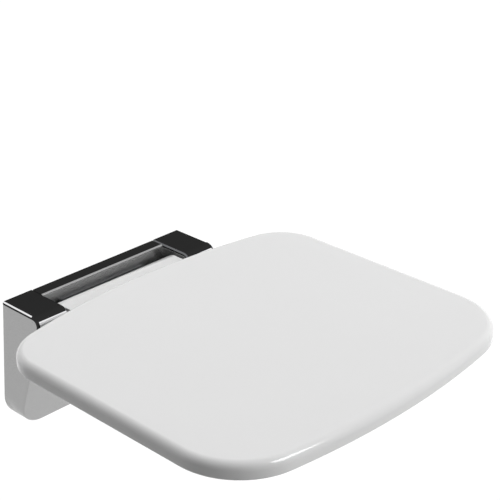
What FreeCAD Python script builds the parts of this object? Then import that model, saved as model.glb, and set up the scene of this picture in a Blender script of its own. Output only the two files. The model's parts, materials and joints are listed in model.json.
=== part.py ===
import FreeCAD, Part
import math
import os

# Wall-mounted folding shower seat, in millimetres.
# The wall is the plane Y = 0 and the seat stands out towards -Y, with +Z up.
# The origin is the centre of the four wall fixings, on the wall.

# Seat plate
seat_width = 380.0
seat_depth = 338.0
seat_thickness = 16.5
seat_rear_gap = 12.0
seat_above_arms = 12.0
seat_front_bulge = 21.5
seat_rear_bulge = 25.5
seat_front_corner = 70.5
seat_rear_corner = 51.0
seat_top_edge_radius = 7.5
seat_bottom_edge_radius = 3.0
seat_skin = 3.5
seat_panel_thickness = 3.0
seat_panel_clearance = 0.15
seat_rib_thickness = 2.5
seat_rib_rows = 3
seat_rib_columns = 4

# Chromed wall bracket
housing_width = 234.8
housing_height = 131.7
housing_flare = 9.6
housing_wall = 2.5
housing_corner = 26.5
housing_edge_radius = 1.6
bracket_arm_width = 36.6
arm_top_past_axle = 8.4
arm_nose_radius = 9.4
front_lean_deg = 14.8
rail_gap = 7.8
rail_drop = 0.4
rail_skirt_height = 14.5
notch_drop = 47.0
cap_thickness = 3.2
rail_cap_thickness = 2.0
cap_clearance = 0.15
ledge_thickness = 2.5

# Wall plate and its fixings
plate_thickness = 5.0
plate_clearance = 0.4
fixing_hole = 8.5
fixing_from_plate_side = 49.5
fixing_below_arm_top = 42.0
fixing_above_plate_edge = 20.8
tab_front_gap = 3.5
tab_width = 18.0
tab_thickness = 4.0
tab_from_corner = 40.9
cover_screw_diameter = 4.0
cover_screw_head = 8.0
cover_screw_head_height = 2.0

# Hinge
folded_wall_gap = 7.0
heel_radius = 15.0
axle_diameter = 12.0
running_clearance = 0.08
bush_wall = 2.0
bush_length = 18.0
bush_flange_rim = 2.0
bush_flange_recess = 0.5
washer_gap = 0.3
washer_hole_clearance = 0.3
block_clearance = 1.0
block_below_axle = 14.5
block_screw_diameter = 6.0
block_screw_head = 12.0
block_screw_head_height = 3.0
block_screw_length = 20.0
block_screw_spacing = 16.0
grub_screw_diameter = 6.0
grub_screw_gap = 0.5

# Stop that holds the open seat level
stop_bar_gap = 2.3
stop_pad_thickness = 2.5
stop_pad_inner = 15.0
stop_pad_from_lug_end = 6.0
stop_gap = 0.3
lug_front_gap = 0.7
lug_side_gap = 5.0
lug_below_axle = 4.0
lug_above_axle = 2.7

# White support arm under the seat
arm_side_gap = 3.3
arm_tip_from_seat_front = 96.5
arm_tip_below_axle = 9.0
arm_tip_corner = 42.0
arm_tip_bulge = 8.0
arm_edge_radius = 2.5
arm_wall = 3.0
skirt_clearance = 0.7
heel_wall = 2.8
heel_cover_tuck = 12.0
heel_split_above_axle = 4.0
heel_seam = 0.2
cheek_clearance = 0.6

# Load-carrying beam inside the support arm
beam_side_gap = 17.5
beam_thickness = 9.0
beam_front_gap = 34.0
beam_corner = 21.0
beam_rib_thickness = 6.0
beam_rib_height = 8.0
beam_rib_from_screws = 10.0
pad_diameter = 24.0
cross_bar_from_axle = 55.0
cross_bar_size = 14.0

# Fasteners of the seat and the support arm
seat_screw_diameter = 6.0
seat_screw_head = 11.0
seat_screw_head_height = 4.0
seat_screw_rows = 3
seat_screw_from_seat_rear = 42.0
seat_screw_from_beam_front = 23.5
seat_screw_from_beam_side = 20.0
insert_diameter = 9.0
insert_above_panel = 1.0
insert_below_skin = 1.0
boss_diameter = 16.0
side_screw_diameter = 5.0
side_screw_head = 9.0
side_screw_head_height = 1.0
side_screw_length = 16.0
side_plug_diameter = 16.0
side_plug_thickness = 1.2
tip_screw_diameter = 4.0
tip_screw_head = 8.0
tip_screw_head_height = 2.2
tip_screw_length = 14.0
tip_screw_offset_x = 22.0
tip_boss_diameter = 10.0
head_clearance = 0.5

# How far a cutting solid runs past the face that it cuts, and how near counts as on a face
overcut = 1.0
tolerance = 0.01

# Distances from the wall. Folded, the seat stands folded_wall_gap from it.
axle_from_wall = folded_wall_gap + seat_thickness + heel_radius
arm_flat_depth = axle_from_wall + arm_top_past_axle
nose_front = arm_flat_depth + arm_nose_radius
rail_depth = axle_from_wall - heel_radius - rail_gap
seat_rear = nose_front + seat_rear_gap
seat_front = seat_rear + seat_depth
arm_tip = seat_front - arm_tip_from_seat_front
arm_reach = arm_tip - axle_from_wall
beam_front = arm_tip - beam_front_gap
cross_bar_place = axle_from_wall + cross_bar_from_axle
first_screw_row = seat_rear + seat_screw_from_seat_rear
last_screw_row = beam_front - seat_screw_from_beam_front
tip_screw_place = last_screw_row + pad_diameter / 2 + tip_screw_head / 2 + head_clearance

# Half widths, from the bracket inwards
half_housing = housing_width / 2
half_housing_foot = half_housing + housing_flare
housing_side_slope = housing_flare / housing_height
half_slot = half_housing - bracket_arm_width
half_arm = half_slot - arm_side_gap
half_plate = half_housing - housing_wall - plate_clearance
half_barrel = half_arm - arm_wall - heel_seam
half_beam = half_arm - beam_side_gap
half_lug = half_beam - lug_side_gap
block_inner = half_slot + housing_wall + block_clearance
block_outer = half_housing - housing_wall - block_clearance
block_middle = (block_inner + block_outer) / 2
tab_offset_x = half_housing - housing_corner - tab_from_corner
seat_screw_x = half_beam - seat_screw_from_beam_side
rib_x = seat_screw_x - beam_rib_from_screws
fixing_spacing_x = 2 * (half_plate - fixing_from_plate_side)

# Heights above the centre of the wall fixings
plate_drop = housing_height - housing_wall - plate_clearance
fixing_spacing_z = plate_drop - fixing_below_arm_top - fixing_above_plate_edge
arm_top = fixing_below_arm_top + fixing_spacing_z / 2
housing_bottom = arm_top - housing_height
plate_bottom = arm_top - plate_drop
notch_bottom = arm_top - notch_drop
rail_top = arm_top - rail_drop
cavity_top = arm_top - cap_thickness - ledge_thickness
nose_centre_z = arm_top - arm_nose_radius
lean = math.radians(front_lean_deg)
cap_seam_z = nose_centre_z - arm_nose_radius * math.sin(lean)
seat_top_z = arm_top + seat_above_arms
seat_under_z = seat_top_z - seat_thickness
insert_bottom = seat_under_z + seat_panel_thickness + insert_above_panel
insert_top = seat_top_z - seat_skin - insert_below_skin
axle_z = seat_under_z - heel_radius
beam_top = seat_under_z - heel_wall - heel_seam
beam_under = beam_top - beam_thickness
lug_top = axle_z + lug_above_axle
stop_pad_under = lug_top + stop_gap
stop_bar_under = stop_pad_under + stop_pad_thickness
block_bottom = axle_z - block_below_axle

# Diameters round the axle
bush_diameter = axle_diameter + 2 * bush_wall
washer_diameter = bush_diameter + 2 * bush_flange_rim
bush_flange_thickness = arm_wall - bush_flange_recess
cheek_hole = washer_diameter + 2 * cheek_clearance
barrel_diameter = 2 * (heel_radius - heel_wall - heel_seam)


def front_inside(z):
    """Distance from the wall to the inner face of the bracket's leaning front at height z."""
    outside = arm_flat_depth + arm_nose_radius * math.cos(lean) - (cap_seam_z - z) * math.tan(lean)
    return outside - housing_wall / math.cos(lean)


# What follows the leaning front: the blocks, the tabs and the skirt that swings past the notch's lower edge
block_front = front_inside(block_bottom) - block_clearance
tab_end = front_inside(plate_bottom) - tab_front_gap
cover_screw_place = (plate_thickness + tab_end) / 2
notch_edge_swing = math.hypot(front_inside(notch_bottom) - axle_from_wall, axle_z - notch_bottom)
skirt_swing = min(notch_edge_swing, axle_from_wall - plate_thickness) - skirt_clearance
arm_skirt = math.sqrt(skirt_swing ** 2 - heel_radius ** 2)

# Folded, the stop lug hangs inside the bracket below the notch's lower edge
lug_folded_front = axle_from_wall + lug_below_axle + lug_front_gap
lug_below_notch = (front_inside(notch_bottom) - lug_folded_front) / math.tan(lean)
lug_rear = axle_from_wall - (axle_z - notch_bottom) - lug_below_notch


def point(x, d, z):
    return FreeCAD.Vector(x, -d, z)


def box(x0, x1, d0, d1, z0, z1):
    return Part.makeBox(x1 - x0, d1 - d0, z1 - z0, point(x0, d1, z0))


def rod_x(diameter, x0, x1, d, z):
    return Part.makeCylinder(diameter / 2, x1 - x0, point(x0, d, z), FreeCAD.Vector(1, 0, 0))


def rod_out(diameter, d0, d1, x, z):
    return Part.makeCylinder(diameter / 2, d1 - d0, point(x, d0, z), FreeCAD.Vector(0, -1, 0))


def rod_up(diameter, z0, z1, x, d):
    return Part.makeCylinder(diameter / 2, z1 - z0, point(x, d, z0), FreeCAD.Vector(0, 0, 1))


def joined(shapes):
    result = shapes[0].multiFuse(shapes[1:]) if len(shapes) > 1 else shapes[0]
    return result.removeSplitter()


def group(shapes):
    return Part.makeCompound(shapes)


def both_sides(make_one):
    return [make_one(side) for side in (-1, 1)]


def span(side, near, far):
    return (near, far) if side > 0 else (-far, -near)


def line(a, b):
    return Part.LineSegment(a, b).toShape()


def arc(a, middle, b):
    return Part.Arc(a, middle, b).toShape()


def rounded_plate(half_width, rear, front, rear_bulge, front_bulge, rear_corner, front_corner,
                  inset, z0, z1):
    """Plate with straight sides and bowed ends, drawn in by inset. No rear corner gives a square rear."""
    side = half_width - inset

    def end_arcs(bulge, corner, place):
        """Bow across one end and its two corner arcs, from the -X side to the +X side."""
        bow = (half_width ** 2 + bulge ** 2) / (2 * bulge)
        corner_x = half_width - corner
        corner_in = bow - math.sqrt((bow - corner) ** 2 - corner_x ** 2)
        radius = corner - inset
        turn = math.atan2(bow - corner_in, corner_x)

        def on_corner(sign, angle):
            x = corner_x + radius * math.cos(angle)
            return place(sign * x, corner_in - radius * math.sin(angle))

        return [
            arc(on_corner(-1, 0), on_corner(-1, turn / 2), on_corner(-1, turn)),
            arc(on_corner(-1, turn), place(0, inset), on_corner(1, turn)),
            arc(on_corner(1, turn), on_corner(1, turn / 2), on_corner(1, 0)),
        ]

    front_arcs = end_arcs(front_bulge, front_corner, lambda x, inward: point(x, front - inward, z0))
    if rear_corner > 0:
        rear_edges = end_arcs(rear_bulge, rear_corner, lambda x, inward: point(x, rear + inward, z0))
    else:
        rear_edges = [line(point(-side, rear + inset, z0), point(side, rear + inset, z0))]
    left = line(rear_edges[0].firstVertex().Point, front_arcs[0].firstVertex().Point)
    right = line(front_arcs[-1].lastVertex().Point, rear_edges[-1].lastVertex().Point)
    edges = [left] + front_arcs + [right] + rear_edges[::-1]
    return Part.Face(Part.Wire(edges)).extrude(FreeCAD.Vector(0, 0, z1 - z0))


def flat_edges(shape, z):
    return [edge for edge in shape.Edges
            if abs(edge.BoundBox.ZMin - z) < tolerance and abs(edge.BoundBox.ZMax - z) < tolerance]


def seat_plate(inset, z0, z1):
    return rounded_plate(seat_width / 2, seat_rear, seat_front, seat_rear_bulge, seat_front_bulge,
                         seat_rear_corner, seat_front_corner, inset, z0, z1)


def seat_screw_places():
    pitch = (last_screw_row - first_screw_row) / (seat_screw_rows - 1)
    rows = [first_screw_row + pitch * row for row in range(seat_screw_rows)]
    return [(side * seat_screw_x, row) for row in rows for side in (-1, 1)]


def seat_top():
    """Upper moulding: top skin and rim, with ribs and screw bosses inside."""
    skin_under = seat_top_z - seat_skin
    outside = seat_plate(0, seat_under_z, seat_top_z)
    outside = outside.makeFillet(seat_top_edge_radius, flat_edges(outside, seat_top_z))
    outside = outside.makeFillet(seat_bottom_edge_radius, flat_edges(outside, seat_under_z))
    rim = seat_top_edge_radius
    hollow = seat_plate(rim, seat_under_z - overcut, skin_under)
    rib_bottom = seat_under_z + seat_panel_thickness
    inside_width = seat_width - 2 * rim
    inside_front = seat_front - rim
    ribs = []
    for row in range(1, seat_rib_rows + 1):
        d = seat_rear + seat_depth * row / (seat_rib_rows + 1)
        ribs.append(box(-inside_width / 2, inside_width / 2, d - seat_rib_thickness / 2,
                        d + seat_rib_thickness / 2, rib_bottom, skin_under))
    for column in range(1, seat_rib_columns + 1):
        x = inside_width * (column / (seat_rib_columns + 1) - 0.5)
        ribs.append(box(x - seat_rib_thickness / 2, x + seat_rib_thickness / 2,
                        seat_rear + rim, inside_front, rib_bottom, skin_under))
    bosses = [rod_up(boss_diameter, rib_bottom, skin_under, x, d) for x, d in seat_screw_places()]
    shell = outside.cut(hollow).fuse(joined(ribs + bosses).common(hollow))
    for x, d in seat_screw_places():
        shell = shell.cut(rod_up(insert_diameter, insert_bottom, insert_top, x, d))
        shell = shell.cut(rod_up(seat_screw_diameter, rib_bottom, insert_bottom, x, d))
    return shell.removeSplitter()


def seat_underside():
    """Panel that closes the seat from below, with holes for the seat screws."""
    panel_top = seat_under_z + seat_panel_thickness
    panel = seat_plate(seat_top_edge_radius + seat_panel_clearance, seat_under_z, panel_top)
    for x, d in seat_screw_places():
        panel = panel.cut(rod_up(seat_screw_diameter, seat_under_z, panel_top, x, d))
    return panel


def seat_inserts():
    inserts = []
    for x, d in seat_screw_places():
        sleeve = rod_up(insert_diameter, insert_bottom, insert_top, x, d)
        inserts.append(sleeve.cut(rod_up(seat_screw_diameter, insert_bottom, insert_top, x, d)))
    return group(inserts)


def seat_screws():
    screws = []
    for x, d in seat_screw_places():
        head = rod_up(seat_screw_head, beam_under - seat_screw_head_height, beam_under, x, d)
        shank = rod_up(seat_screw_diameter, beam_under, insert_top, x, d)
        screws.append(joined([head, shank]))
    return group(screws)


def arm_plan(inset, z0, z1):
    """Outline of the support arm from above, with its rounded tip."""
    return rounded_plate(half_arm, 0, arm_tip, 0, arm_tip_bulge, 0, arm_tip_corner, inset, z0, z1)


def arm_outside(inset, has_skirt):
    """Side profile of the support arm run across its width and trimmed to the rounded tip."""
    r = heel_radius - inset
    tip = arm_reach - inset
    tip_under = inset - arm_tip_below_axle
    skirt_top = arm_wall - heel_radius
    heel_end = math.asin(-skirt_top / r) if has_skirt else math.pi / 2
    side = half_arm - inset

    def at(d, z):
        return point(-side, axle_from_wall + d, axle_z + z)

    edges = [
        line(at(tip, r), at(0, r)),
        arc(at(0, r), at(-r, 0), at(-r * math.cos(heel_end), -r * math.sin(heel_end))),
    ]
    if has_skirt:
        edges += [
            line(at(-r * math.cos(heel_end), skirt_top), at(-arm_skirt, skirt_top)),
            line(at(-arm_skirt, skirt_top), at(-arm_skirt, -r)),
            line(at(-arm_skirt, -r), at(0, -r)),
        ]
    edges += [
        line(at(0, -r), at(tip, tip_under)),
        line(at(tip, tip_under), at(tip, r)),
    ]
    block = Part.Face(Part.Wire(edges)).extrude(FreeCAD.Vector(2 * side, 0, 0))
    return block.common(arm_plan(inset, axle_z - 2 * heel_radius, axle_z + 2 * heel_radius))


def under_edges(shape):
    """Long outer edges of the arm's lower face, which the moulding rounds over."""
    chosen = []
    for edge in shape.Edges:
        below = edge.BoundBox.ZMax < axle_z - arm_tip_below_axle + tolerance
        ahead = -edge.CenterOfMass.y > axle_from_wall + tolerance
        if below and ahead:
            chosen.append(edge)
    return chosen


def arm_body():
    body = arm_outside(0, True)
    return body.makeFillet(arm_edge_radius, under_edges(body))


def heel_region():
    return box(-half_arm - overcut, half_arm + overcut, 0, seat_rear + heel_cover_tuck,
               axle_z + heel_split_above_axle, seat_under_z + overcut)


def arm_cavity():
    """Space inside the support arm, open towards the seat and at the heel's rear."""
    inner = arm_outside(arm_wall, False)
    side = half_arm - arm_wall
    top = seat_under_z + overcut
    upper = box(-side, side, axle_from_wall, arm_tip - arm_wall, axle_z, top)
    rear = box(-side, side, axle_from_wall - arm_skirt, axle_from_wall, axle_z - heel_radius + arm_wall, top)
    return joined([inner, upper.common(arm_plan(arm_wall, axle_z, top)), rear])


def arm_shell():
    """White lower moulding of the support arm, with its rear skirt that closes the notch when folded."""
    shell = arm_body().cut(arm_cavity()).cut(heel_region())
    bosses = []
    for side in (-1, 1):
        column = rod_up(tip_boss_diameter, axle_z - heel_radius, beam_under, side * tip_screw_offset_x,
                        tip_screw_place)
        bosses.append(column.common(arm_body()))
    shell = shell.multiFuse(bosses)
    for side in (-1, 1):
        shell = shell.cut(rod_up(tip_screw_diameter, beam_top - tip_screw_length, beam_under,
                                 side * tip_screw_offset_x, tip_screw_place))
        near, far = span(side, half_arm - arm_wall, half_arm)
        shell = shell.cut(rod_x(cheek_hole, near, far, axle_from_wall, axle_z))
        shell = shell.cut(rod_x(side_screw_diameter, near, far, cross_bar_place, axle_z))
        near, far = span(side, half_arm - side_plug_thickness, half_arm)
        shell = shell.cut(rod_x(side_plug_diameter, near, far, cross_bar_place, axle_z))
        near, far = span(side, half_arm - side_plug_thickness - side_screw_head_height, half_arm)
        shell = shell.cut(rod_x(side_screw_head, near, far, cross_bar_place, axle_z))
    return shell.removeSplitter()


def heel_cover():
    """White upper cover of the heel, seen between the bracket's arms."""
    inner = heel_radius - heel_wall
    ahead = seat_rear + heel_cover_tuck
    tunnel = joined([
        rod_x(2 * inner, -half_barrel, half_barrel, axle_from_wall, axle_z),
        box(-half_barrel, half_barrel, axle_from_wall, ahead, axle_z, axle_z + inner),
    ])
    cover = arm_outside(0, True).common(heel_region()).cut(tunnel)
    for side in (-1, 1):
        near, far = span(side, half_barrel - overcut, half_arm + overcut)
        cover = cover.cut(rod_x(cheek_hole, near, far, axle_from_wall, axle_z))
    return cover.removeSplitter()


def hinge_beam():
    """Cast beam: barrel on the axle, plate under the seat, ribs, screw pads, side lugs and the stop lug."""
    barrel = rod_x(barrel_diameter, -half_barrel, half_barrel, axle_from_wall, axle_z)
    plate = rounded_plate(half_beam, axle_from_wall, beam_front, 0, arm_tip_bulge, 0, beam_corner, 0,
                          beam_under, beam_top)
    parts = [barrel, plate]
    for x in (-rib_x, 0, rib_x):
        parts.append(box(x - beam_rib_thickness / 2, x + beam_rib_thickness / 2, axle_from_wall,
                         last_screw_row, beam_under - beam_rib_height, beam_under))
    for x, d in seat_screw_places():
        parts.append(rod_up(pad_diameter, beam_top, seat_under_z, x, d))
    parts.append(box(-half_barrel, half_barrel, cross_bar_place - cross_bar_size / 2,
                     cross_bar_place + cross_bar_size / 2, axle_z - cross_bar_size / 2, beam_under))
    parts.append(box(-half_lug, half_lug, lug_rear, axle_from_wall, axle_z - lug_below_axle, lug_top))
    beam = joined(parts)
    beam = beam.cut(rod_x(bush_diameter, -half_barrel, half_barrel, axle_from_wall, axle_z))
    for x, d in seat_screw_places():
        beam = beam.cut(rod_up(seat_screw_diameter, beam_under, seat_under_z, x, d))
        beam = beam.cut(rod_up(seat_screw_head + 2 * head_clearance, beam_under - beam_rib_height,
                               beam_under, x, d))
    for side in (-1, 1):
        beam = beam.cut(rod_up(tip_screw_diameter, beam_under, beam_top, side * tip_screw_offset_x,
                               tip_screw_place))
        near, far = span(side, half_barrel - side_screw_length, half_barrel)
        beam = beam.cut(rod_x(side_screw_diameter, near, far, cross_bar_place, axle_z))
    return beam.removeSplitter()


def hinge_bushes():
    def one(side):
        near, far = span(side, half_barrel - bush_length, half_barrel)
        sleeve = rod_x(bush_diameter, near, far, axle_from_wall, axle_z)
        near, far = span(side, half_barrel, half_barrel + bush_flange_thickness)
        flange = rod_x(washer_diameter, near, far, axle_from_wall, axle_z)
        near, far = span(side, half_barrel - bush_length - overcut,
                         half_barrel + bush_flange_thickness + overcut)
        bore = rod_x(axle_diameter + 2 * running_clearance, near, far, axle_from_wall, axle_z)
        return joined([sleeve, flange]).cut(bore)
    return group(both_sides(one))


def side_screws():
    def one(side):
        seat = half_arm - side_plug_thickness
        near, far = span(side, seat - side_screw_head_height, seat)
        head = rod_x(side_screw_head, near, far, cross_bar_place, axle_z)
        near, far = span(side, half_barrel - side_screw_length, seat - side_screw_head_height)
        return joined([head, rod_x(side_screw_diameter, near, far, cross_bar_place, axle_z)])
    return group(both_sides(one))


def side_plugs():
    def one(side):
        near, far = span(side, half_arm - side_plug_thickness, half_arm)
        return rod_x(side_plug_diameter, near, far, cross_bar_place, axle_z)
    return group(both_sides(one))


def tip_screws():
    def one(side):
        x = side * tip_screw_offset_x
        head = rod_up(tip_screw_head, beam_top, beam_top + tip_screw_head_height, x, tip_screw_place)
        shank = rod_up(tip_screw_diameter, beam_top - tip_screw_length, beam_top, x, tip_screw_place)
        return joined([head, shank])
    return group(both_sides(one))


def housing_block(side_inset, skin):
    """Outer form of the bracket: flat arm tops, round noses, flared sides and a front that leans in."""
    half = half_housing - side_inset
    r = arm_nose_radius - skin
    bottom = housing_bottom + side_inset
    nose = (arm_flat_depth + r * math.cos(lean), nose_centre_z - r * math.sin(lean))
    turn = (math.pi / 2 - lean) / 2
    middle = (arm_flat_depth + r * math.cos(turn), nose_centre_z + r * math.sin(turn))
    foot = nose[0] - (nose[1] - bottom) * math.tan(lean)
    back = -side_inset
    top = nose_centre_z + r

    def at(d, z):
        return point(-half_housing_foot, d, z)

    edges = [
        line(at(back, bottom), at(back, top)),
        line(at(back, top), at(arm_flat_depth, top)),
        arc(at(arm_flat_depth, top), at(middle[0], middle[1]), at(nose[0], nose[1])),
        line(at(nose[0], nose[1]), at(foot, bottom)),
        line(at(foot, bottom), at(back, bottom)),
    ]
    block = Part.Face(Part.Wire(edges)).extrude(FreeCAD.Vector(2 * half_housing_foot, 0, 0))
    return block.common(front_outline(half, bottom, housing_corner - side_inset, housing_side_slope,
                                      -side_inset - overcut, nose_front + overcut))


def front_outline(half, bottom, radius, side_slope, d0, d1):
    """Upright block with rounded lower corners, 2 * half wide at the arm tops and flared towards the foot."""
    turn = math.atan(side_slope)
    corner_z = bottom + radius
    corner_x = half + side_slope * (arm_top - corner_z) - radius / math.cos(turn)
    top = arm_top + overcut
    top_x = half - side_slope * overcut

    def at(x, z):
        return point(x, d0, z)

    def on_corner(sign, angle):
        return at(sign * (corner_x + radius * math.cos(angle)), corner_z + radius * math.sin(angle))

    foot = -math.pi / 2
    middle = (turn + foot) / 2
    edges = [
        line(at(-top_x, top), on_corner(-1, turn)),
        arc(on_corner(-1, turn), on_corner(-1, middle), on_corner(-1, foot)),
        line(on_corner(-1, foot), on_corner(1, foot)),
        arc(on_corner(1, foot), on_corner(1, middle), on_corner(1, turn)),
        line(on_corner(1, turn), at(top_x, top)),
        line(at(top_x, top), at(-top_x, top)),
    ]
    return Part.Face(Part.Wire(edges)).extrude(FreeCAD.Vector(0, d0 - d1, 0))


def front_rim_edges(shape):
    """Edges between the leaning front and the sides, lower corners and underside."""
    chosen = []
    for edge in shape.Edges:
        middle = edge.CenterOfMass
        out_front = edge.BoundBox.YMax < -plate_thickness
        across_top = middle.z > cap_seam_z - tolerance
        if out_front and not across_top:
            chosen.append(edge)
    return chosen


def arm_cap_zone(side, gap):
    near, far = span(side, half_slot, half_housing_foot)
    return box(near, far, -overcut, nose_front + overcut, cap_seam_z - gap, arm_top + overcut)


def top_skin():
    return housing_block(0, 0).cut(housing_block(0, cap_thickness).fuse(
        box(-half_housing_foot, half_housing_foot, -overcut, arm_flat_depth, housing_bottom,
            arm_top - cap_thickness)))


def arm_cap(side):
    return top_skin().common(arm_cap_zone(side, 0))


def rail_cap():
    return box(-half_slot + cap_clearance, half_slot - cap_clearance, 0, rail_depth,
               rail_top - rail_cap_thickness, rail_top)


def housing_cavity():
    """Hollow of the bracket, with thicker ledges under the caps than in the leaning front."""
    under_caps = housing_block(housing_wall, cap_thickness + ledge_thickness)
    below_caps = housing_block(housing_wall, housing_wall)
    ledge_end = cap_seam_z - ledge_thickness
    below_caps = below_caps.common(box(-half_housing_foot, half_housing_foot, -housing_wall, nose_front,
                                       housing_bottom, ledge_end))
    return under_caps.fuse(below_caps).removeSplitter()


def cover_screw_cone(side, gap):
    foot = point(side * tab_offset_x, cover_screw_place, housing_bottom)
    return Part.makeCone(cover_screw_head / 2 + gap, cover_screw_diameter / 2 + gap,
                         cover_screw_head_height, foot, FreeCAD.Vector(0, 0, 1))


def cover_screw_shank(side, gap):
    return rod_up(cover_screw_diameter + 2 * gap, housing_bottom + cover_screw_head_height,
                  plate_bottom + tab_thickness, side * tab_offset_x, cover_screw_place)


def housing_cover():
    """Chromed shell of the bracket: two arms, the rail behind the slot, the leaning front and the notch."""
    outside = housing_block(0, 0)
    outside = outside.makeFillet(housing_edge_radius, front_rim_edges(outside))
    cavity = housing_cavity()
    front = nose_front + overcut
    above = arm_top + overcut
    walls = []
    for side in (-1, 1):
        near, far = span(side, half_slot, half_slot + housing_wall)
        walls.append(box(near, far, plate_thickness + plate_clearance, front,
                         notch_bottom - housing_wall, arm_top))
    walls.append(box(-half_slot, half_slot, rail_depth - housing_wall, rail_depth,
                     rail_top - rail_skirt_height, arm_top))
    shell = outside.cut(cavity.cut(joined(walls)))
    shell = shell.cut(box(-half_slot, half_slot, rail_depth, front, notch_bottom, above))
    shell = shell.cut(box(-half_slot, half_slot, -overcut, rail_depth, rail_top - rail_cap_thickness, above))
    for side in (-1, 1):
        shell = shell.cut(top_skin().common(arm_cap_zone(side, cap_clearance)))
        near, far = span(side, half_slot - overcut, half_slot + housing_wall + overcut)
        washer_hole = washer_diameter + 2 * washer_hole_clearance
        shell = shell.cut(rod_x(washer_hole, near, far, axle_from_wall, axle_z))
        shell = shell.cut(cover_screw_cone(side, cap_clearance))
        shell = shell.cut(cover_screw_shank(side, cap_clearance))
    return shell.removeSplitter()


def cover_screws():
    return group(both_sides(lambda side: joined([cover_screw_cone(side, 0), cover_screw_shank(side, 0)])))


def block_screw_places(side):
    upper = cavity_top - block_clearance - block_screw_head / 2
    return [(side * block_middle, z) for z in (upper - block_screw_spacing, upper)]


def mounting_plate():
    """Steel wall plate with four wall fixings, countersinks for the block screws and two lower tabs."""
    plate = front_outline(half_plate, plate_bottom, housing_corner - housing_wall - plate_clearance, 0,
                          0, plate_thickness)
    plate = plate.common(box(-half_plate, half_plate, 0, plate_thickness, plate_bottom, cavity_top))
    tabs = []
    for side in (-1, 1):
        x = side * tab_offset_x
        tabs.append(box(x - tab_width / 2, x + tab_width / 2, plate_thickness, tab_end, plate_bottom,
                        plate_bottom + tab_thickness))
    plate = joined([plate] + tabs)
    for x in (-fixing_spacing_x / 2, fixing_spacing_x / 2):
        for z in (-fixing_spacing_z / 2, fixing_spacing_z / 2):
            plate = plate.cut(rod_out(fixing_hole, -overcut, plate_thickness + overcut, x, z))
    for side in (-1, 1):
        plate = plate.cut(cover_screw_shank(side, 0))
        for x, z in block_screw_places(side):
            plate = plate.cut(block_screw_head_cone(x, z))
            plate = plate.cut(rod_out(block_screw_diameter, 0, plate_thickness, x, z))
    return plate.removeSplitter()


def block_screw_head_cone(x, z):
    return Part.makeCone(block_screw_head / 2, block_screw_diameter / 2, block_screw_head_height,
                         point(x, 0, z), FreeCAD.Vector(0, -1, 0))


def block_screws():
    screws = []
    for side in (-1, 1):
        for x, z in block_screw_places(side):
            shank = rod_out(block_screw_diameter, block_screw_head_height, block_screw_length, x, z)
            screws.append(joined([block_screw_head_cone(x, z), shank]))
    return group(screws)


def bearing_block(side):
    """Block inside one arm that carries the axle."""
    near, far = span(side, block_inner, block_outer)
    block = box(near, far, plate_thickness, block_front, block_bottom, cavity_top - block_clearance)
    block = block.cut(rod_x(axle_diameter, near - overcut, far + overcut, axle_from_wall, axle_z))
    for x, z in block_screw_places(side):
        block = block.cut(rod_out(block_screw_diameter, plate_thickness, block_screw_length, x, z))
    return block.cut(rod_up(grub_screw_diameter, block_bottom, axle_z, side * block_middle, axle_from_wall))


def axle_grub_screws():
    def one(side):
        return rod_up(grub_screw_diameter, block_bottom + grub_screw_gap, axle_z - axle_diameter / 2,
                      side * block_middle, axle_from_wall)
    return group(both_sides(one))


def hinge_axle():
    return rod_x(axle_diameter, -block_outer, block_outer, axle_from_wall, axle_z)


def friction_washers():
    """Washer stacks between the blocks and the bush flanges, which give the fold its drag."""
    def one(side):
        start = half_barrel + bush_flange_thickness + washer_gap
        near, far = span(side, start, block_inner)
        ring = rod_x(washer_diameter, near, far, axle_from_wall, axle_z)
        return ring.cut(rod_x(axle_diameter, near - overcut, far + overcut, axle_from_wall, axle_z))
    return group(both_sides(one))


def stop_bar():
    return box(-half_beam, half_beam, plate_thickness, rail_depth - housing_wall,
               stop_bar_under, cavity_top - stop_bar_gap)


def stop_pads():
    def one(side):
        near, far = span(side, stop_pad_inner, half_lug - stop_pad_from_lug_end)
        return box(near, far, plate_thickness, rail_depth - housing_wall, stop_pad_under, stop_bar_under)
    return group(both_sides(one))


pieces = {
    "mounting_plate": mounting_plate,
    "left_bearing_block": lambda: bearing_block(-1),
    "right_bearing_block": lambda: bearing_block(1),
    "block_screws": block_screws,
    "hinge_axle": hinge_axle,
    "axle_grub_screws": axle_grub_screws,
    "friction_washers": friction_washers,
    "stop_bar": stop_bar,
    "stop_pads": stop_pads,
    "housing_cover": housing_cover,
    "left_arm_cap": lambda: arm_cap(-1),
    "right_arm_cap": lambda: arm_cap(1),
    "back_rail_cap": rail_cap,
    "cover_screws": cover_screws,
    "seat_top": seat_top,
    "seat_underside": seat_underside,
    "seat_inserts": seat_inserts,
    "seat_screws": seat_screws,
    "hinge_beam": hinge_beam,
    "hinge_bushes": hinge_bushes,
    "arm_shell": arm_shell,
    "heel_cover": heel_cover,
    "side_screws": side_screws,
    "side_plugs": side_plugs,
    "tip_screws": tip_screws,
}

os.makedirs("parts", exist_ok=True)
for name, make in pieces.items():
    shape = make()
    shape.exportStep("parts/" + name + ".step")
    print(name, "solids", len(shape.Solids), "valid", shape.isValid(), "volume", round(shape.Volume, 1))
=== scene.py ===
import json
import math

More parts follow.
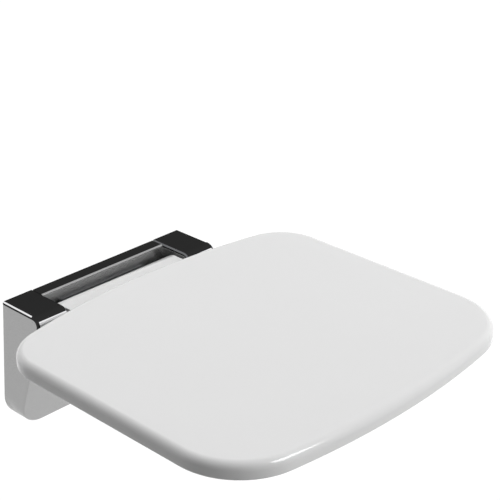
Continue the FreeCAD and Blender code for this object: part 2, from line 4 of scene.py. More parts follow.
import bmesh
import bpy
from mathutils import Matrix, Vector


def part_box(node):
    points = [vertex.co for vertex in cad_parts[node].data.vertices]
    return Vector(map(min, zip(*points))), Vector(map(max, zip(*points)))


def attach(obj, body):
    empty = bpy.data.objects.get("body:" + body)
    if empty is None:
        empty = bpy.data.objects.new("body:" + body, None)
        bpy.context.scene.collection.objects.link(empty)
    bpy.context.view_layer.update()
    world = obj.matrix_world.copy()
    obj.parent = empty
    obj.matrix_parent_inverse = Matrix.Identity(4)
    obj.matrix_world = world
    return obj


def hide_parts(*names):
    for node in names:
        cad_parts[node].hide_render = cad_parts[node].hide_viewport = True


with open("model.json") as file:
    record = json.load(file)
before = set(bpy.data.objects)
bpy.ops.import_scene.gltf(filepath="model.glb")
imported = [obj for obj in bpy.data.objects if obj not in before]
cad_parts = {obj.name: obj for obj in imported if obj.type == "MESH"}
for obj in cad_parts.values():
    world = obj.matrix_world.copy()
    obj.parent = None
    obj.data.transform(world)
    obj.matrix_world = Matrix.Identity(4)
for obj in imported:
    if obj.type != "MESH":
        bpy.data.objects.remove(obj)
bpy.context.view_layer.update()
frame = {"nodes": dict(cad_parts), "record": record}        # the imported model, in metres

mm = 0.001
cadNodes = frame["nodes"]
print("frame loaded:", len(cadNodes), "nodes")


# shared helpers

def hexToLinear(code):
    channels = [int(code[start:start + 2], 16) / 255 for start in (1, 3, 5)]
    linear = [c / 12.92 if c <= 0.04045 else ((c + 0.055) / 1.055) ** 2.4 for c in channels]
    return (linear[0], linear[1], linear[2], 1.0)


def perMetre(millimetres):
    return 1 / (millimetres * mm)  # texture scale for a feature of this size


def addNode(tree, kind, settings=None, values=None, links=None):
    node = tree.nodes.new(kind)
    for name, value in (settings or {}).items():
        setattr(node, name, value)
    for socket, value in (values or {}).items():
        node.inputs[socket].default_value = value
    for socket, source in (links or {}).items():
        tree.links.new(source, node.inputs[socket])
    return node


def startMaterial(name):
    material = bpy.data.materials.new(name)
    material.use_nodes = True
    tree = material.node_tree
    tree.nodes.clear()
    shader = addNode(tree, "ShaderNodeBsdfPrincipled")
    addNode(tree, "ShaderNodeOutputMaterial", links={"Surface": shader.outputs["BSDF"]})
    place = addNode(tree, "ShaderNodeTexCoord").outputs["Object"]
    return material, tree, shader, place


def finishSurface(tree, shader, place, look):
    # slow drift of colour, patchy gloss and a fine surface ripple, each at its own real size
    drift = addNode(tree, "ShaderNodeTexNoise", None,
                    {"Scale": perMetre(look["driftMm"]), "Detail": 2.0}, {"Vector": place})
    tint = addNode(tree, "ShaderNodeMix", {"data_type": "RGBA"}, None, {"Factor": drift.outputs["Fac"]})
    tint.inputs["A"].default_value = hexToLinear(look["colour"])
    tint.inputs["B"].default_value = hexToLinear(look["shade"])
    tree.links.new(tint.outputs["Result"], shader.inputs["Base Color"])
    gloss = addNode(tree, "ShaderNodeTexNoise", None,
                    {"Scale": perMetre(look["glossMm"]), "Detail": 3.0}, {"Vector": place})
    span = look.get("glossSpan", (0, 1))  # a narrow span gives clear patches of each gloss
    rough = addNode(tree, "ShaderNodeMapRange", None,
                    {"From Min": span[0], "From Max": span[1],
                     "To Min": look["roughness"][0], "To Max": look["roughness"][1]},
                    {"Value": gloss.outputs["Fac"]})
    tree.links.new(rough.outputs["Result"], shader.inputs["Roughness"])
    stretch = addNode(tree, "ShaderNodeMapping", None, {"Scale": look.get("stretch", (1, 1, 1))},
                      {"Vector": place})
    ripple = addNode(tree, "ShaderNodeTexNoise", None,
                     {"Scale": perMetre(look["rippleMm"]), "Detail": 1.0},
                     {"Vector": stretch.outputs["Vector"]})
    bump = addNode(tree, "ShaderNodeBump", None,
                   {"Strength": look["rippleStrength"], "Distance": look["rippleHeightMm"] * mm},
                   {"Height": ripple.outputs["Fac"]})
    tree.links.new(bump.outputs["Normal"], shader.inputs["Normal"])


# materials; grain, brushing and tool rings are finer in reality and drawn coarse enough to show

glossAbsLook = {
    "colour": "#e3e3e3", "shade": "#e1e1e1", "roughness": (0.09, 0.13),
    "driftMm": 90, "glossMm": 24, "rippleMm": 5, "rippleHeightMm": 0.02, "rippleStrength": 0.02,
}


def glossMouldedAbs():
    # white ABS from a polished tool: even colour, clear soft-edged reflections, a trace of ripple
    material, tree, shader, place = startMaterial("glossMouldedAbs")
    shader.inputs["IOR"].default_value = 1.53
    finishSurface(tree, shader, place, glossAbsLook)
    return material


satinChromeLook = {
    "colour": "#a2a2a2", "shade": "#9f9f9f", "roughness": (0.12, 0.5), "glossSpan": (0.38, 0.62),
    "driftMm": 60, "glossMm": 0.4, "rippleMm": 0.8, "rippleHeightMm": 0.01, "rippleStrength": 0.05,
}


def satinChromePlate():
    # chrome over a fine satin grain: silver grey, sharp glints inside a soft haze;
    # glossMm draws the grain coarser than it is, so that it shows
    material, tree, shader, place = startMaterial("satinChromePlate")
    shader.inputs["Metallic"].default_value = 1.0
    finishSurface(tree, shader, place, satinChromeLook)
    return material


blackChromeLook = {
    "colour": "#2e2e2e", "shade": "#2b2b2b", "edgeTint": "#bcbcbc", "roughness": (0.14, 0.19),
    "driftMm": 40, "glossMm": 12, "rippleMm": 1.2, "rippleHeightMm": 0.01, "rippleStrength": 0.03,
}


def blackChromePlate():
    # black chrome, polished: near-black mirror that stays dark even at a low angle
    material, tree, shader, place = startMaterial("blackChromePlate")
    shader.inputs["Metallic"].default_value = 1.0
    shader.inputs["Specular Tint"].default_value = hexToLinear(blackChromeLook["edgeTint"])
    finishSurface(tree, shader, place, blackChromeLook)
    return material


paintedGlintChromeLook = {
    "colour": "#f2f2f3", "shade": "#ececee", "roughness": (0.08, 0.12),
    "driftMm": 30, "glossMm": 8, "rippleMm": 1, "rippleHeightMm": 0.01, "rippleStrength": 0.03,
}


def paintedGlintChrome():
    # near-white chrome on the caps' outer bevels and lower nose: a painted reflection, brighter than the
    # plate so these edges show as white lines
    material, tree, shader, place = startMaterial("paintedGlintChrome")
    shader.inputs["Metallic"].default_value = 1.0
    finishSurface(tree, shader, place, paintedGlintChromeLook)
    return material


paintedShadeChromeLook = {
    "colour": "#6f7072", "shade": "#67686a", "roughness": (0.12, 0.3), "glossSpan": (0.38, 0.62),
    "driftMm": 20, "glossMm": 1.5, "rippleMm": 1, "rippleHeightMm": 0.01, "rippleStrength": 0.03,
}


def paintedShadeChrome():
    # mid-grey chrome on the caps' inner bevels: painted shade, a darker mirror line than the studio
    # gives there
    material, tree, shader, place = startMaterial("paintedShadeChrome")
    shader.inputs["Metallic"].default_value = 1.0
    finishSurface(tree, shader, place, paintedShadeChromeLook)
    return material


brushedSteelLook = {
    "colour": "#b4b5b6", "shade": "#a6a7a9", "roughness": (0.3, 0.42), "stretch": (0.02, 1, 1),
    "driftMm": 25, "glossMm": 10, "rippleMm": 0.6, "rippleHeightMm": 0.02, "rippleStrength": 0.3,
}


def brushedStainless():
    # stainless sheet brushed across its width: long fine scratches, grey silver
    material, tree, shader, place = startMaterial("brushedStainless")
    shader.inputs["Metallic"].default_value = 1.0
    finishSurface(tree, shader, place, brushedSteelLook)
    return material


groundSteelLook = {
    "colour": "#c6c7c8", "shade": "#b9babb", "roughness": (0.16, 0.24), "stretch": (1, 0.05, 0.05),
    "driftMm": 20, "glossMm": 6, "rippleMm": 0.5, "rippleHeightMm": 0.01, "rippleStrength": 0.2,
}


def groundStainless():
    # ground stainless rod: fine rings round the bar
    material, tree, shader, place = startMaterial("groundStainless")
    shader.inputs["Metallic"].default_value = 1.0
    finishSurface(tree, shader, place, groundSteelLook)
    return material


zincScrewLook = {
    "colour": "#c3c4bf", "shade": "#adafae", "roughness": (0.26, 0.38),
    "driftMm": 3, "glossMm": 2, "rippleMm": 0.5, "rippleHeightMm": 0.01, "rippleStrength": 0.15,
}


def zincPlatedSteel():
    # zinc-plated steel: pale blue-grey metal with cloudy gloss
    material, tree, shader, place = startMaterial("zincPlatedSteel")
    shader.inputs["Metallic"].default_value = 1.0
    finishSurface(tree, shader, place, zincScrewLook)
    return material


castAluminiumLook = {
    "colour": "#b9bbbd", "shade": "#a7a9ab", "roughness": (0.42, 0.58),
    "driftMm": 14, "glossMm": 6, "rippleMm": 0.9, "rippleHeightMm": 0.05, "rippleStrength": 0.4,
}


def dieCastAluminium():
    # die-cast aluminium as it leaves the die: dull silver with a fine grain
    material, tree, shader, place = startMaterial("dieCastAluminium")
    shader.inputs["Metallic"].default_value = 1.0
    finishSurface(tree, shader, place, castAluminiumLook)
    return material


acetalLook = {
    "colour": "#dcdbd3", "shade": "#d3d2c9", "roughness": (0.34, 0.44), "stretch": (1, 0.05, 0.05),
    "driftMm": 10, "glossMm": 5, "rippleMm": 0.5, "rippleHeightMm": 0.02, "rippleStrength": 0.2,
}


def turnedAcetal():
    # turned acetal: warm white with faint tool rings
    material, tree, shader, place = startMaterial("turnedAcetal")
    shader.inputs["IOR"].default_value = 1.48
    finishSurface(tree, shader, place, acetalLook)
    return material


rubberLook = {
    "colour": "#232323", "shade": "#1d1d1d", "roughness": (0.62, 0.75),
    "driftMm": 8, "glossMm": 4, "rippleMm": 0.7, "rippleHeightMm": 0.04, "rippleStrength": 0.35,
}


def mouldedRubber():
    # moulded black rubber: dull with a fine pebble
    material, tree, shader, place = startMaterial("mouldedRubber")
    shader.inputs["IOR"].default_value = 1.52
    finishSurface(tree, shader, place, rubberLook)
    return material


brassLook = {
    "colour": "#d2b36a", "shade": "#c2a055", "roughness": (0.24, 0.34),
    "driftMm": 4, "glossMm": 2, "rippleMm": 0.8, "rippleHeightMm": 0.05, "rippleStrength": 0.4,
}


def knurledBrass():
    # brass inserts: warm metal with a coarse bite
    material, tree, shader, place = startMaterial("knurledBrass")
    shader.inputs["Metallic"].default_value = 1.0
    finishSurface(tree, shader, place, brassLook)
    return material


slotMaterials = {
    "white_gloss": glossMouldedAbs(),
    "chrome": satinChromePlate(),
    "black_chrome": blackChromePlate(),
    "stainless_plate": brushedStainless(),
    "stainless_rod": groundStainless(),
    "plated_screws": zincPlatedSteel(),
    "cast_aluminium": dieCastAluminium(),
    "acetal": turnedAcetal(),
    "rubber": mouldedRubber(),
    "brass": knurledBrass(),
}

slotOfNode = {part["node"]: part["material_slot"] for part in frame["record"]["subparts"]}
for nodeName, node in cadNodes.items():
    for materialSlot in node.material_slots:
        materialSlot.material = slotMaterials[slotOfNode[nodeName]]
print("materials set:", len(slotMaterials))


# mesh helpers

def addRing(work, points):
    return [work.verts.new(Vector(point) * mm) for point in points]


def joinRings(work, first, second, paints=(0,)):
    # one band of faces between two closed rings; paints gives each face its material
    count = len(first)
    for index in range(count):
        after = (index + 1) % count
        face = work.faces.new((first[index], first[after], second[after], second[index]))
        face.material_index = paints[index % len(paints)]


def addBlock(work, low, high):
    corners = [[work.verts.new(Vector((x, y, z)) * mm) for x, y in
                ((low[0], low[1]), (high[0], low[1]), (high[0], high[1]), (low[0], high[1]))]
               for z in (low[2], high[2])]
    joinRings(work, corners[0], corners[1])
    work.faces.new(corners[0])
    work.faces.new(corners[1])


def addDrum(work, x, y, low, high, radius, sides=40):
    turns = [2 * math.pi * side / sides for side in range(sides)]
    circle = [(x + radius * math.cos(turn), y + radius * math.sin(turn)) for turn in turns]
    rings = [addRing(work, [(*point, z) for point in circle]) for z in (low, high)]
    joinRings(work, rings[0], rings[1])
    work.faces.new(rings[0])
    work.faces.new(rings[1])


def meshObject(name, work):
    bmesh.ops.recalc_face_normals(work, faces=work.faces)
    mesh = bpy.data.meshes.new(name)
    work.to_mesh(mesh)
    work.free()
    made = bpy.data.objects.new(name, mesh)
    bpy.context.scene.collection.objects.link(made)
    return made


def mergeSolid(piece, tool, operation):
    # join a tool to the piece or cut it away, then drop the tool
    merge = piece.modifiers.new(operation, "BOOLEAN")
    merge.operation = operation
    merge.solver = "EXACT"
    merge.use_self = True
    merge.object = tool
    plain = piece.data
    graph = bpy.context.evaluated_depsgraph_get()
    merged = bpy.data.meshes.new_from_object(piece.evaluated_get(graph))
    piece.modifiers.clear()
    piece.data = merged
    merged.name = plain.name
    bpy.data.meshes.remove(plain)
    bpy.data.objects.remove(tool)


def settle(piece, body, node, materials, sharp=35):
    for material in materials:
        piece.data.materials.append(material)
    piece.data.shade_smooth()
    piece.data.set_sharp_from_angle(angle=math.radians(sharp))
    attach(piece, body)
    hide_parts(node)


def nodeBox(node):
    low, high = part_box(node)
    return low / mm, high / mm


# seat plate: upper moulding with a rolled edge, ribs and screw bosses under its skin

seatShape = {
    "frontBulge": 21.5, "rearBulge": 25.5, "frontCorner": 70.5, "rearCorner": 51.0,
    "topRadius": 7.5, "bottomRadius": 3.0, "skin": 3.5,
    "ribThickness": 2.5, "ribRows": 3, "ribColumns": 4, "ribRoot": 1.0,
    "bossDiameter": 16.0, "insertDiameter": 9.0,
    "cornerSteps": 24, "bowSteps": 20, "edgeSteps": 12,
}


def bowReach(half, bulge):
    return (half ** 2 + bulge ** 2) / (2 * bulge)  # radius of the shallow arc across one end


def bowedEnd(half, bulge, corner, inset):
    # from a straight side to the middle of one end, as (x, distance in from that end)
    bow = bowReach(half, bulge)
    cornerX = half - corner
    cornerIn = bow - math.sqrt((bow - corner) ** 2 - cornerX ** 2)
    turn = math.atan2(bow - cornerIn, cornerX)
    points = []
    reach = corner - inset
    for step in range(seatShape["cornerSteps"]):
        angle = turn * step / seatShape["cornerSteps"]
        points.append((cornerX + reach * math.cos(angle), cornerIn - reach * math.sin(angle)))
    reach = bow - inset
    for step in range(seatShape["bowSteps"] + 1):
        angle = turn + (math.pi / 2 - turn) * step / seatShape["bowSteps"]
        points.append((reach * math.cos(angle), bow - reach * math.sin(angle)))
    return points


def seatRing(low, high, inset, z):
    front = bowedEnd(high.x, seatShape["frontBulge"], seatShape["frontCorner"], inset)
    rear = bowedEnd(high.x, seatShape["rearBulge"], seatShape["rearCorner"], inset)
    ring = [(x, low.y + inward, z) for x, inward in front]
    ring += [(-x, low.y + inward, z) for x, inward in front[-2::-1]]
    ring += [(-x, high.y - inward, z) for x, inward in rear]
    ring += [(x, high.y - inward, z) for x, inward in rear[-2::-1]]
    return ring


def quarterTurns(steps):
    return [math.pi / 2 * step / steps for step in range(steps + 1)]


def screwPlaces():
    # the seat's screws, from the box round their brass inserts
    low, high = nodeBox("seat_inserts")
    radius = seatShape["insertDiameter"] / 2
    rows = (high.y - radius, (low.y + high.y) / 2, low.y + radius)
    return [(side * (high.x - radius), row) for row in rows for side in (-1, 1)]


def ribLattice(low, high, bottom, top):
    work = bmesh.new()
    rim = seatShape["topRadius"] - seatShape["ribRoot"]
    half = seatShape["ribThickness"] / 2
    for row in range(1, seatShape["ribRows"] + 1):
        y = high.y - (high.y - low.y) * row / (seatShape["ribRows"] + 1)
        addBlock(work, (low.x + rim, y - half, bottom), (high.x - rim, y + half, top))
    for column in range(1, seatShape["ribColumns"] + 1):
        x = 2 * (high.x - seatShape["topRadius"]) * (column / (seatShape["ribColumns"] + 1) - 0.5)
        ends = []
        for bulge in (seatShape["frontBulge"], seatShape["rearBulge"]):
            bow = bowReach(high.x, bulge)
            ends.append(bow - math.sqrt((bow - rim) ** 2 - x ** 2))
        addBlock(work, (x - half, low.y + ends[0], bottom), (x + half, high.y - ends[1], top))
    for x, y in screwPlaces():
        addDrum(work, x, y, bottom, top, seatShape["bossDiameter"] / 2)
    return meshObject("seatRibs", work)


def buildSeatTop():
    low, high = nodeBox("seat_top")
    insertTop = nodeBox("seat_inserts")[1].z
    panelTop = nodeBox("seat_underside")[1].z
    roll, lip = seatShape["topRadius"], seatShape["bottomRadius"]
    roof = high.z - seatShape["skin"]
    turns = quarterTurns(seatShape["edgeSteps"])
    profile = [(roll * (1 - math.sin(turn)), high.z - roll * (1 - math.cos(turn))) for turn in turns]
    profile += [(lip * (1 - math.cos(turn)), low.z + lip * (1 - math.sin(turn))) for turn in turns]
    profile += [(roll, low.z), (roll, roof)]
    work = bmesh.new()
    rings = [addRing(work, seatRing(low, high, inset, z)) for inset, z in profile]
    for first, second in zip(rings, rings[1:]):
        joinRings(work, first, second)
    work.faces.new(rings[0])
    work.faces.new(rings[-1])
    seatTop = meshObject("seatTop", work)
    ribs = ribLattice(low, high, panelTop, roof + seatShape["ribRoot"])
    mergeSolid(seatTop, ribs, "UNION")
    holes = bmesh.new()
    for x, y in screwPlaces():
        addDrum(holes, x, y, panelTop - seatShape["ribRoot"], insertTop, seatShape["insertDiameter"] / 2)
    mergeSolid(seatTop, meshObject("seatHoles", holes), "DIFFERENCE")
    settle(seatTop, "seat", "seat_top", [slotMaterials["white_gloss"]])


buildSeatTop()
print("seat plate built")


# dark caps on the bracket's arms: flat, then round the nose; the outer bevel and the lower nose are
# painted bright as reflection, the inner bevel painted darker as shade

capShape = {
    "lean": 14.8, "flare": 0.0729, "thickness": 3.2,
    "outerBevel": 1.1, "innerBevel": 1.4, "noseBevel": 0.3, "noseRim": 2.0,
    "bevelEnd": 2.0, "bevelRunOut": 1.0, "paintedGlintFrom": 50.0,
    "flatSteps": 8, "noseSteps": 10, "sharpDegrees": 25,
}


def capStations(length, radius):
    # places along the cap as (distance from the wall, drop, angle round the nose, outer bevel)
    flat = length - radius
    full = flat - capShape["bevelEnd"]
    steps = capShape["flatSteps"]
    stations = [(full * step / steps, 0, 0, capShape["outerBevel"]) for step in range(steps + 1)]
    stations.append((full + capShape["bevelRunOut"], 0, 0, capShape["noseBevel"]))
    stops = [0, capShape["paintedGlintFrom"], 90 + capShape["lean"]]
    angles = [0]
    for start, stop in zip(stops, stops[1:]):
        for step in range(1, capShape["noseSteps"] + 1):
            angles.append(start + (stop - start) * step / capShape["noseSteps"])
    for angle in angles:
        turn = math.radians(angle)
        out, drop = flat + radius * math.sin(turn), radius * (1 - math.cos(turn))
        stations.append((out, drop, angle, capShape["noseBevel"]))
    return stations


def buildArmCap(name, node, side, paintedGlintMaterial, paintedShadeMaterial):
    low, high = nodeBox(node)
    radius = (high.z - low.z) / (1 + math.sin(math.radians(capShape["lean"])))
    inner, foot = sorted((abs(low.x), abs(high.x)))
    outer = foot - capShape["flare"] * (high.z - low.z)  # the side flares towards the cap's lower end
    bevelIn, depth, rim = capShape["innerBevel"], capShape["thickness"], capShape["noseRim"]
    dark, paintedGlint, paintedShade = range(3)  # order of the cap's materials
    work = bmesh.new()
    before = None
    for out, drop, angle, bevel in capStations(-low.y, radius):
        section = [(inner + bevelIn, 0), (outer - rim, 0), (outer - bevel, 0), (outer, bevel),
                   (outer, depth), (inner, depth), (inner, bevelIn)]
        turn = math.radians(angle)
        points = []
        for x, d in section:
            fall = drop + d * math.cos(turn)
            flare = capShape["flare"] * fall if x > outer - 2 * rim else 0
            points.append((side * (x + flare), -out + d * math.sin(turn), high.z - fall))
        ring = addRing(work, points)
        if before:
            # the lower nose and the outer bevel take the near-white chrome, a painted reflection; the
            # inner bevel takes the mid-grey chrome, painted shade
            top = paintedGlint if angle > capShape["paintedGlintFrom"] else dark
            edge = paintedGlint if bevel == capShape["outerBevel"] else dark
            joinRings(work, before, ring, (top, dark, edge, dark, dark, dark, paintedShade))
        else:
            work.faces.new(ring)
        before = ring
    work.faces.new(before)
    cap = meshObject(name, work)
    settle(cap, "bracket", node,
           [slotMaterials["black_chrome"], paintedGlintMaterial, paintedShadeMaterial], capShape["sharpDegrees"])


# near-white chrome for the painted reflections on the caps' edges and lower nose
capPaintedGlintChrome = paintedGlintChrome()
# mid-grey chrome for the painted shade along the caps' inner bevels
capPaintedShadeChrome = paintedShadeChrome()
for name, node, side in (("leftArmCap", "left_arm_cap", -1), ("rightArmCap", "right_arm_cap", 1)):
    buildArmCap(name, node, side, capPaintedGlintChrome, capPaintedShadeChrome)


# dark cap on the rail behind the slot, a little lower, with a rolled front edge painted in satin chrome
# as a painted highlight

railCapShape = {"frontRadius": 1.7, "endBevel": 0.3, "edgeSteps": 8}


def buildRailCap():
    low, high = nodeBox("back_rail_cap")
    radius = railCapShape["frontRadius"]
    section = [(high.y, low.z), (high.y, high.z)]
    section += [(low.y + radius * (1 - math.sin(turn)), high.z - radius * (1 - math.cos(turn)))
                for turn in quarterTurns(railCapShape["edgeSteps"])]
    section.append((low.y, low.z))
    middleY, middleZ = (low.y + high.y) / 2, (low.z + high.z) / 2
    bevel = railCapShape["endBevel"]
    shrinkY, shrinkZ = 1 - 2 * bevel / (high.y - low.y), 1 - 2 * bevel / (high.z - low.z)
    work = bmesh.new()
    rings = []
    for x, small in ((low.x, True), (low.x + bevel, False), (high.x - bevel, False), (high.x, True)):
        scaleY, scaleZ = (shrinkY, shrinkZ) if small else (1, 1)
        points = [(x, middleY + (y - middleY) * scaleY, middleZ + (z - middleZ) * scaleZ)
                  for y, z in section]
        rings.append(addRing(work, points))
    dark, paintedGlint = range(2)  # order of the cap's materials
    # the rolled front edge faces take satin chrome: a painted highlight
    paints = [dark] * 2 + [paintedGlint] * railCapShape["edgeSteps"] + [dark] * 2
    for first, second in zip(rings, rings[1:]):
        joinRings(work, first, second, paints)
    work.faces.new(rings[0])
    work.faces.new(rings[-1])
    cap = meshObject("backRailCap", work)
    settle(cap, "bracket", "back_rail_cap",
           [slotMaterials["black_chrome"], slotMaterials["chrome"]])


buildRailCap()
print("bracket caps built")


# countersunk socket screws: four through the wall plate's back, two up into the bracket's foot

blockScrewShape = {
    "head": 12.0, "headHeight": 3.0, "key": 4.0, "keyDepth": 2.4,
    "shank": 6.0, "tipBevel": 0.6, "sides": 36,
}
coverScrewShape = {
    "head": 8.0, "headHeight": 2.0, "key": 2.5, "keyDepth": 1.6,
    "shank": 4.0, "tipBevel": 0.4, "sides": 36,
}


def hexagonReach(turn, acrossFlats):
    return acrossFlats / 2 / math.cos((turn + math.pi / 6) % (math.pi / 3) - math.pi / 6)


def addSocketScrew(work, shape, face, inward, length):
    # face is the middle of the head, inward points along the shank
    across = inward.orthogonal().normalized()
    other = inward.cross(across)
    turns = [2 * math.pi * side / shape["sides"] for side in range(shape["sides"])]
    socket = [hexagonReach(turn, shape["key"]) for turn in turns]
    evenly = [1.0] * shape["sides"]
    shank = shape["shank"] / 2
    stations = [
        (shape["keyDepth"], 1, socket), (0, 1, socket), (0, shape["head"] / 2, evenly),
        (shape["headHeight"], shank, evenly), (length - shape["tipBevel"], shank, evenly),
        (length, shank - shape["tipBevel"], evenly),
    ]
    rings = []
    for depth, radius, reaches in stations:
        rings.append(addRing(work, [
            face + inward * depth + (across * math.cos(turn) + other * math.sin(turn)) * radius * reach
            for turn, reach in zip(turns, reaches)]))
    for first, second in zip(rings, rings[1:]):
        joinRings(work, first, second)
    work.faces.new(rings[0])
    work.faces.new(rings[-1])


def buildBlockScrews():
    low, high = nodeBox("block_screws")
    edge = blockScrewShape["head"] / 2
    work = bmesh.new()
    for x in (low.x + edge, high.x - edge):
        for z in (low.z + edge, high.z - edge):
            face = Vector((x, high.y, z))
            addSocketScrew(work, blockScrewShape, face, Vector((0, -1, 0)), high.y - low.y)
    screws = meshObject("blockScrews", work)
    settle(screws, "bracket", "block_screws", [slotMaterials["plated_screws"]])


def buildCoverScrews():
    low, high = nodeBox("cover_screws")
    edge = coverScrewShape["head"] / 2
    work = bmesh.new()
    for x in (low.x + edge, high.x - edge):
        face = Vector((x, (low.y + high.y) / 2, low.z))
        addSocketScrew(work, coverScrewShape, face, Vector((0, 0, 1)), high.z - low.z)
    screws = meshObject("coverScrews", work)
    settle(screws, "bracket", "cover_screws", [slotMaterials["plated_screws"]])


buildBlockScrews()
buildCoverScrews()
print("screws built")


# outer pieces that keep their frame mesh get the small edge radii that tools leave, in mm

edgeRadii = {
    "housing_cover": 0.4, "arm_shell": 0.5, "heel_cover": 0.4,
    "seat_underside": 0.4, "mounting_plate": 0.4, "side_plugs": 0.3,
}
edgeFinish = {"weldMm": 0.002, "flatDegrees": 0.5, "sharpDegrees": 35, "segments": 2}


def softenEdges(node, radius):
    weld = node.modifiers.new("weldSeams", "WELD")
    weld.merge_threshold = edgeFinish["weldMm"] * mm
    flat = node.modifiers.new("joinFlats", "DECIMATE")
    flat.decimate_type = "DISSOLVE"
    flat.angle_limit = math.radians(edgeFinish["flatDegrees"])
    edge = node.modifiers.new("edgeRadius", "BEVEL")
    edge.width = radius * mm
    edge.segments = edgeFinish["segments"]
    edge.limit_method = "ANGLE"
    edge.angle_limit = math.radians(edgeFinish["sharpDegrees"])
    edge.use_clamp_overlap = False
    edge.harden_normals = True
    close = node.modifiers.new("closeCorners", "WELD")
    close.merge_threshold = edgeFinish["weldMm"] * mm


for nodeName, radius in edgeRadii.items():
    softenEdges(cadNodes[nodeName], radius)
print("edges softened:", len(edgeRadii))


# camera at the photograph's angle, for a square image, in mm and degrees

cameraSettings = {
    "target": (135.43, -92.07, 74.76), "azimuth": -46.02, "elevation": 25.42,
    "distance": 1483.14, "lens": 101.34, "sensor": 36.0, "farthest": 50000.0,
}


def addCamera(settings):
    azimuth = math.radians(settings["azimuth"])
    elevation = math.radians(settings["elevation"])
    target = Vector(settings["target"]) * mm
    towards = Vector((math.sin(azimuth) * math.cos(elevation), -math.cos(azimuth) * math.cos(elevation),
                      math.sin(elevation)))
    data = bpy.data.cameras.new("photoCamera")
    data.lens = settings["lens"]
    data.sensor_width = settings["sensor"]
    data.clip_end = settings["farthest"] * mm
    camera = bpy.data.objects.new("photoCamera", data)
    camera.location = target + towards * settings["distance"] * mm
    camera.rotation_euler = (-towards).to_track_quat("-Z", "Y").to_euler()
    bpy.context.scene.collection.objects.link(camera)
    bpy.context.scene.camera = camera


addCamera(cameraSettings)


# studio, in metres

studioSettings = {
    "floorBelow": 0.40, "floorSize": 24.0, "floorColour": "#939393", "floorGlow": 0.76,
    "floorRoughness": 0.9, "ambient": 0.12, "sunDistance": 4.0,
}

# each sun: the direction that it shines from, its strength and its width in degrees
sunSettings = {
    "keySun": ((0.50, -0.72, 0.48), 2.45, 50),
    "topSun": ((0.08, 0.55, 0.83), 1.42, 40),
    "sideSun": ((1.0, -0.10, 0.05), 0.9, 40),
    "rimSun": ((0.0, 1.0, 0.12), 1.4, 40),
}

# each softbox: its place, what it points at, its width and height, and its power
softboxSettings = {
    "streakLamp": ((0.182, -1.269, 0.856), (-0.11, -0.397, 0.085), (0.64, 0.45), 8.0),
    "cardLamp": ((0.25, -0.25, -0.39), (0.25, -0.25, 1.0), (0.8, 0.8), 0.34),
}


def aimAt(lamp, aim):
    lamp.rotation_euler = (Vector(aim) - lamp.location).to_track_quat("-Z", "Y").to_euler()


def addSun(name, direction, strength, angle):
    data = bpy.data.lights.new(name, "SUN")
    data.energy = strength
    data.angle = math.radians(angle)
    lamp = bpy.data.objects.new(name, data)
    lamp.location = Vector(direction).normalized() * studioSettings["sunDistance"]
    aimAt(lamp, (0, 0, 0))
    lamp.visible_glossy = False  # soft light only, so metal mirrors the white studio
    bpy.context.scene.collection.objects.link(lamp)


def addSoftbox(name, place, aim, size, power):
    data = bpy.data.lights.new(name, "AREA")
    data.shape = "RECTANGLE"
    data.size, data.size_y = size
    data.energy = power
    lamp = bpy.data.objects.new(name, data)
    lamp.location = place
    aimAt(lamp, aim)
    lamp.visible_diffuse = False  # a highlight only, so the light level stays even
    lamp.visible_camera = False
    bpy.context.scene.collection.objects.link(lamp)


def seenRays(tree):
    # 1 for rays from the camera, a mirror or glass, 0 for light that bounces
    path = addNode(tree, "ShaderNodeLightPath")
    mirrored = addNode(tree, "ShaderNodeMath", {"operation": "MAXIMUM"})
    tree.links.new(path.outputs["Is Camera Ray"], mirrored.inputs[0])
    tree.links.new(path.outputs["Is Glossy Ray"], mirrored.inputs[1])
    seen = addNode(tree, "ShaderNodeMath", {"operation": "MAXIMUM"})
    tree.links.new(mirrored.outputs[0], seen.inputs[0])
    tree.links.new(path.outputs["Is Transmission Ray"], seen.inputs[1])
    return seen.outputs[0]


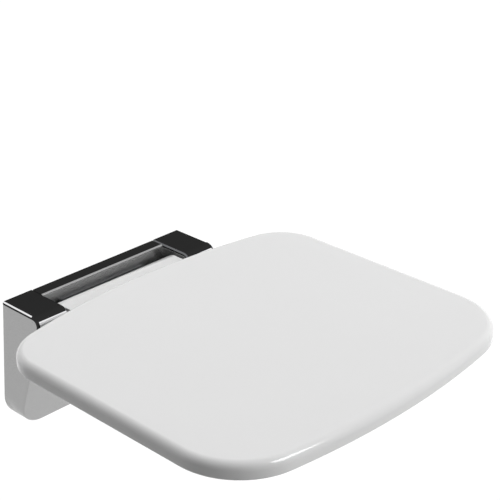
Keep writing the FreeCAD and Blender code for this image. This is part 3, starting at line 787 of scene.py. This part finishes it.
def addWorld(settings):
    world = bpy.data.worlds.new("whiteStudio")
    bpy.context.scene.world = world
    world.use_nodes = True
    tree = world.node_tree
    tree.nodes.clear()
    dim = addNode(tree, "ShaderNodeBackground", None, {"Strength": settings["ambient"]})
    white = addNode(tree, "ShaderNodeBackground", None, {"Strength": 1.0})
    for background in (dim, white):
        background.inputs["Color"].default_value = (1, 1, 1, 1)
    both = addNode(tree, "ShaderNodeMixShader", None, None, {"Fac": seenRays(tree)})
    tree.links.new(dim.outputs[0], both.inputs[1])
    tree.links.new(white.outputs[0], both.inputs[2])
    addNode(tree, "ShaderNodeOutputWorld", links={"Surface": both.outputs[0]})


def addFloor(settings):
    half = settings["floorSize"] / 2
    height = -settings["floorBelow"]
    corners = [(x, y, height) for x, y in ((-half, -half), (half, -half), (half, half), (-half, half))]
    mesh = bpy.data.meshes.new("studioFloor")
    mesh.from_pydata(corners, [], [(0, 1, 2, 3)])
    floor = bpy.data.objects.new("studioFloor", mesh)
    bpy.context.scene.collection.objects.link(floor)
    material, tree, shader = startMaterial("matteWhiteFloor")[:3]
    output = next(node for node in tree.nodes if node.type == "OUTPUT_MATERIAL")
    shader.inputs["Base Color"].default_value = hexToLinear(settings["floorColour"])
    shader.inputs["Roughness"].default_value = settings["floorRoughness"]
    shader.inputs["Specular IOR Level"].default_value = 0.0
    glowStrength = addNode(tree, "ShaderNodeMath", {"operation": "MULTIPLY"})
    tree.links.new(seenRays(tree), glowStrength.inputs[0])
    glowStrength.inputs[1].default_value = settings["floorGlow"]
    glow = addNode(tree, "ShaderNodeEmission", None, None, {"Strength": glowStrength.outputs[0]})
    both = addNode(tree, "ShaderNodeAddShader")
    tree.links.new(shader.outputs[0], both.inputs[0])
    tree.links.new(glow.outputs[0], both.inputs[1])
    tree.links.new(both.outputs[0], output.inputs["Surface"])
    mesh.materials.append(material)


addWorld(studioSettings)
addFloor(studioSettings)
for sunName, (direction, strength, angle) in sunSettings.items():
    addSun(sunName, direction, strength, angle)
for lampName, (place, aim, size, power) in softboxSettings.items():
    addSoftbox(lampName, place, aim, size, power)
bpy.context.scene.view_settings.view_transform = "Standard"
print("studio ready")
